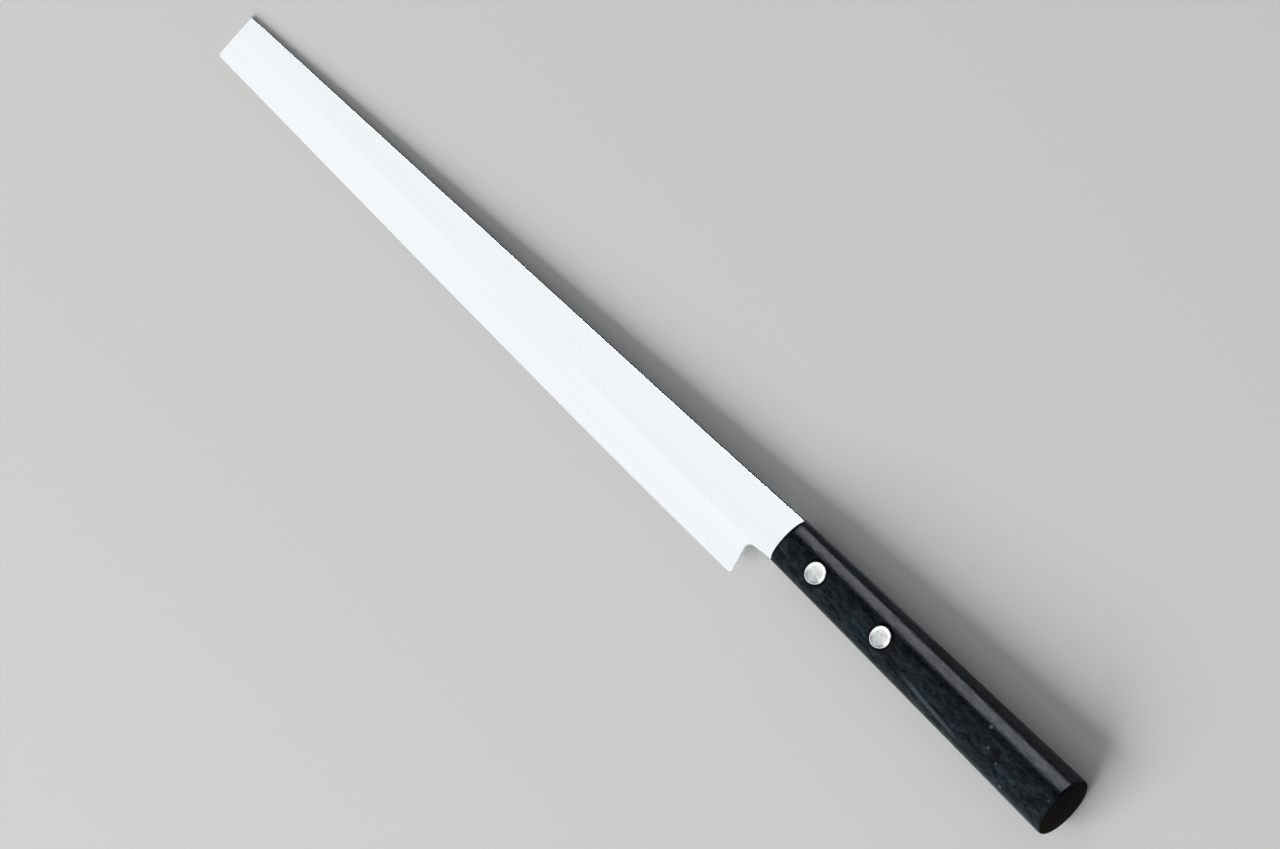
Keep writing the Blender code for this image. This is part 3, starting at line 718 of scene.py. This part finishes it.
carved = cut_away(handle_shape(), [slot_shape(), *seats])
handle = finish_piece(carved, "handle_buffed", wood, "handle")
handle.data.materials.append(end_grain)
for face in handle.data.polygons:
    if abs(face.normal.x) > END_ON:
        face.material_index = 1


# The stage: a plain pale floor under soft studio light, with pale walls that the steel and the wood mirror.
# The camera stands where the photograph was taken from.

FLOOR_RADIUS = 2.4
WALLS_LIGHT = 0.28
WALLS_SEEN = 0.8
WALL_BY_WINDOW = 0.12

floor_material, tree, shader = new_material("plain_pale_floor")
shader.inputs["Base Color"].default_value = colour("#D5D5D4")
shader.inputs["Roughness"].default_value = 0.7
shape = bmesh.new()
bmesh.ops.create_circle(shape, cap_ends=True, radius=FLOOR_RADIUS, segments=96)
mesh = bpy.data.meshes.new("floor")
shape.to_mesh(mesh)
shape.free()
mesh.materials.append(floor_material)
floor = bpy.data.objects.new("floor", mesh)
bpy.context.scene.collection.objects.link(floor)

world = bpy.data.worlds.new("studio_walls")
bpy.context.scene.world = world
world.use_nodes = True
# The camera, the steel and the gloss of the wood see pale studio walls; what they give as light is less
tree = world.node_tree
rays = add_node(tree, "LightPath", {})
seen = add_node(tree, "Math", {
    0: rays.outputs["Is Camera Ray"], 1: rays.outputs["Is Glossy Ray"]}, operation="MAXIMUM")
seen = add_node(tree, "Math", {
    0: seen.outputs[0], 1: rays.outputs["Is Transmission Ray"]}, operation="MAXIMUM")
level = add_node(tree, "MapRange", {"Value": seen.outputs[0], "To Min": WALLS_LIGHT, "To Max": WALLS_SEEN})
# The wall round the window looks darker in the gloss, as a wall does against its window
direction = add_node(tree, "TexCoord", {})
sideways = add_node(tree, "SeparateXYZ", {"Vector": direction.outputs["Generated"]})
toward_window = add_node(tree, "MapRange", {
    "Value": sideways.outputs["Y"], "From Min": 0.0, "From Max": 0.3}, interpolation_type="SMOOTHSTEP")
in_gloss = add_node(tree, "Math", {
    0: toward_window.outputs[0], 1: rays.outputs["Is Glossy Ray"]}, operation="MULTIPLY")
darker = add_node(tree, "MapRange", {"Value": in_gloss.outputs[0], "To Min": 1.0, "To Max": WALL_BY_WINDOW})
strength = add_node(tree, "Math", {0: level.outputs[0], 1: darker.outputs[0]}, operation="MULTIPLY")
background = tree.nodes["Background"]
background.inputs["Color"].default_value = colour("#FFFFFF")
tree.links.new(strength.outputs[0], background.inputs["Strength"])


def add_softbox(name, at, aim, size, radiance, tint="#FFFFFF", lean=0.0, lights=True, glints=True):
    """A soft rectangular lamp, given by its face's brightness and tint. It may only light, or only glint."""
    lamp = bpy.data.lights.new(name, "AREA")
    lamp.shape = "RECTANGLE"
    lamp.size, lamp.size_y = size
    lamp.energy = math.pi * size[0] * size[1] * radiance
    lamp.color = colour(tint)[:3]
    holder = bpy.data.objects.new(name, lamp)
    holder.location = at
    faced = (Vector(at) - Vector(aim)).to_track_quat("Z", "Y")
    holder.rotation_euler = (faced @ Quaternion((0.0, 0.0, 1.0), math.radians(lean))).to_euler()
    holder.visible_camera = False
    holder.visible_diffuse = lights
    holder.visible_glossy = glints
    bpy.context.scene.collection.objects.link(holder)


# The window only glints along the wood and the steel; the softbox beyond the edge gives most of the light
add_softbox("overhead_softbox", (-0.9, -0.9, 2.1), (0.0, 0.0, 0.0), (1.8, 1.8), 0.3)
add_softbox("side_window", (-0.855, 1.62, 1.11), (0.12, 0.0, 0.0), (0.6, 1.42), 15.5, "#F1F6FF",
            lean=-14.0, lights=False)
add_softbox("edge_side_softbox", (0.1, -3.2, 1.8), (0.1, 0.0, 0.0), (4.0, 2.2), 6.8, glints=False)

VIEW_WIDTH = 0.39235  # what the picture's width spans at the knife
VIEW_MIDDLE = Vector((-0.00106, -0.00350, 0.00519))
TOWARDS = Vector((0.33861, 0.15558, 0.92797)).normalized()
VIEW_UP = Vector((-0.66670, 0.73561, 0.11994)).normalized()
lens = bpy.data.cameras.new("camera")
lens.lens = 1120.0
camera = bpy.data.objects.new("camera", lens)
camera.location = VIEW_MIDDLE + TOWARDS * (VIEW_WIDTH * lens.lens / lens.sensor_width)
camera.rotation_mode = "QUATERNION"
camera.rotation_quaternion = Matrix((VIEW_UP.cross(TOWARDS), VIEW_UP, TOWARDS)).transposed().to_quaternion()
bpy.context.scene.collection.objects.link(camera)
bpy.context.scene.camera = camera
bpy.context.scene.view_settings.view_transform = "Standard"
